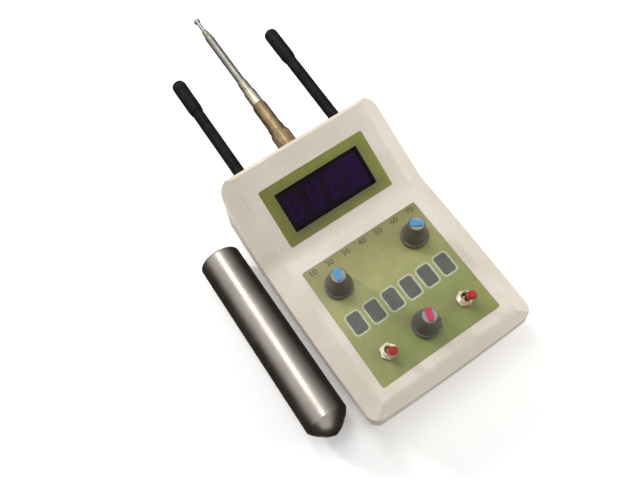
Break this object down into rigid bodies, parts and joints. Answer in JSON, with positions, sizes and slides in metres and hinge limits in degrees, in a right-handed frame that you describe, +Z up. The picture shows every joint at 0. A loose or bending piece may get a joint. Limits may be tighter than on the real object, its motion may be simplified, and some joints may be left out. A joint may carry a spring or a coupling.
{
  "type": "long range locator",
  "caption": "Hand-held locator with a folded two-part case, a digit display, turning knobs, toggle switches, whip antennas, a telescopic mast and a loose turned grip.",
  "frame": {"origin": "centre of the grip socket's mouth in the flat underside of the case", "axes": "+X to the right of the user, +Y to the antenna end, +Z up out of the panel side"},
  "size_m": [0.131, 0.2558, 0.0607],
  "materials": {
    "ivory_plastic": "satin moulded, fine texture",
    "green_label": "printed film, satin",
    "tinted_window": "polished tinted acrylic",
    "black_plastic": "moulded black",
    "circuit_board": "solder mask",
    "screw_steel": "zinc plated",
    "nickel": "nickel plated",
    "zinc_can": "plated can",
    "knob_grey": "moulded, satin",
    "cap_grey": "moulded, satin",
    "pointer_blue": "moulded insert",
    "pointer_red": "moulded insert",
    "switch_case": "moulded",
    "red_cap": "soft sleeve, satin",
    "black_rubber": "smooth moulded",
    "brass": "worn",
    "mast_chrome": "plated tube, worn",
    "battery_can": "plain jacket",
    "turned_steel": "turned, polished"
  },
  "bodies": {
    "case": {"front_shell": "ivory_plastic", "rear_shell": "ivory_plastic", "case_screws": "screw_steel", "control_label": "green_label", "display_label": "green_label", "display_window": "tinted_window", "led_display": "black_plastic", "display_board": "circuit_board", "display_board_screws": "screw_steel", "main_board": "circuit_board", "main_board_screws": "screw_steel", "controller_chip": "black_plastic", "pot_nuts": "nickel", "switch_nuts": "nickel", "socket_nuts": "nickel", "mast_socket": "nickel", "mast_ferrule": "brass", "mast_base": "brass", "battery": "battery_can", "battery_snap": "black_plastic", "grip_bush": "black_plastic", "pot_body_left": "zinc_can", "pot_body_right": "zinc_can", "pot_body_low": "zinc_can", "switch_body_left": "switch_case", "switch_bush_left": "nickel", "whip_socket_left": "nickel", "whip_left": "black_rubber", "whip_sleeve_left": "black_rubber", "switch_body_right": "switch_case", "switch_bush_right": "nickel", "whip_socket_right": "nickel", "whip_right": "black_rubber", "whip_sleeve_right": "black_rubber"},
    "knob_left_body": {"pot_shaft_left": "zinc_can", "knob_left": "knob_grey", "knob_cap_left": "cap_grey", "knob_pointer_left": "pointer_blue"},
    "knob_right_body": {"pot_shaft_right": "zinc_can", "knob_right": "knob_grey", "knob_cap_right": "cap_grey", "knob_pointer_right": "pointer_blue"},
    "knob_low_body": {"pot_shaft_low": "zinc_can", "knob_low": "knob_grey", "knob_cap_low": "cap_grey", "knob_pointer_low": "pointer_red"},
    "lever_left_body": {"switch_lever_left": "nickel", "lever_cap_left": "red_cap"},
    "lever_right_body": {"switch_lever_right": "nickel", "lever_cap_right": "red_cap"},
    "mast_1_body": {"mast_section_1": "mast_chrome"},
    "mast_2_body": {"mast_section_2": "mast_chrome"},
    "mast_3_body": {"mast_section_3": "mast_chrome"},
    "mast_4_body": {"mast_section_4": "mast_chrome"},
    "mast_tip_body": {"mast_tip": "mast_chrome"},
    "door_body": {"battery_door": "ivory_plastic"},
    "grip_body": {"grip": "turned_steel"}
  },
  "joints": [
    {"name": "knob_left_turn", "type": "hinge", "parent": "case", "child": "knob_left_body", "pos_m": [-0.0245, -0.00363, 0.03238], "axis": [0, -0.0698, 0.9976], "range_deg": [-134, 166]},
    {"name": "knob_right_turn", "type": "hinge", "parent": "case", "child": "knob_right_body", "pos_m": [0.0245, -0.00363, 0.03238], "axis": [0, -0.0698, 0.9976], "range_deg": [-203, 97]},
    {"name": "knob_low_turn", "type": "hinge", "parent": "case", "child": "knob_low_body", "pos_m": [0, -0.04573, 0.02944], "axis": [0, -0.0698, 0.9976], "range_deg": [-130, 170]},
    {"name": "lever_left_flip", "type": "hinge", "parent": "case", "child": "lever_left_body", "pos_m": [-0.024, -0.04613, 0.03081], "axis": [0.9903, 0.1388, 0.0097], "range_deg": [-32, 0]},
    {"name": "lever_right_flip", "type": "hinge", "parent": "case", "child": "lever_right_body", "pos_m": [0.024, -0.04613, 0.03081], "axis": [0.866, 0.4988, 0.0349], "range_deg": [-32, 0]},
    {"name": "mast_1_slide", "type": "slide", "parent": "case", "child": "mast_1_body", "axis": [0, 0.989, 0.1478], "range_m": [-0.0095, 0.0322]},
    {"name": "mast_2_slide", "type": "slide", "parent": "mast_1_body", "child": "mast_2_body", "axis": [0, 0.989, 0.1478], "range_m": [-0.006, 0.0347]},
    {"name": "mast_3_slide", "type": "slide", "parent": "mast_2_body", "child": "mast_3_body", "axis": [0, 0.989, 0.1478], "range_m": [-0.0376, 0.0061]},
    {"name": "mast_4_slide", "type": "slide", "parent": "mast_3_body", "child": "mast_4_body", "axis": [0, 0.989, 0.1478], "range_m": [-0.003, 0.0412]},
    {"name": "mast_tip_slide", "type": "slide", "parent": "mast_4_body", "child": "mast_tip_body", "axis": [0, 0.989, 0.1478], "range_m": [-0.0049, 0.0403]},
    {"name": "door_slide", "type": "slide", "parent": "case", "child": "door_body", "axis": [0, 1, 0], "range_m": [0, 0.034]},
    {"name": "grip_lift", "type": "slide", "parent": "case", "child": "grip_body", "axis": [0, 0, 1], "range_m": [0, 0.12]}
  ]
}
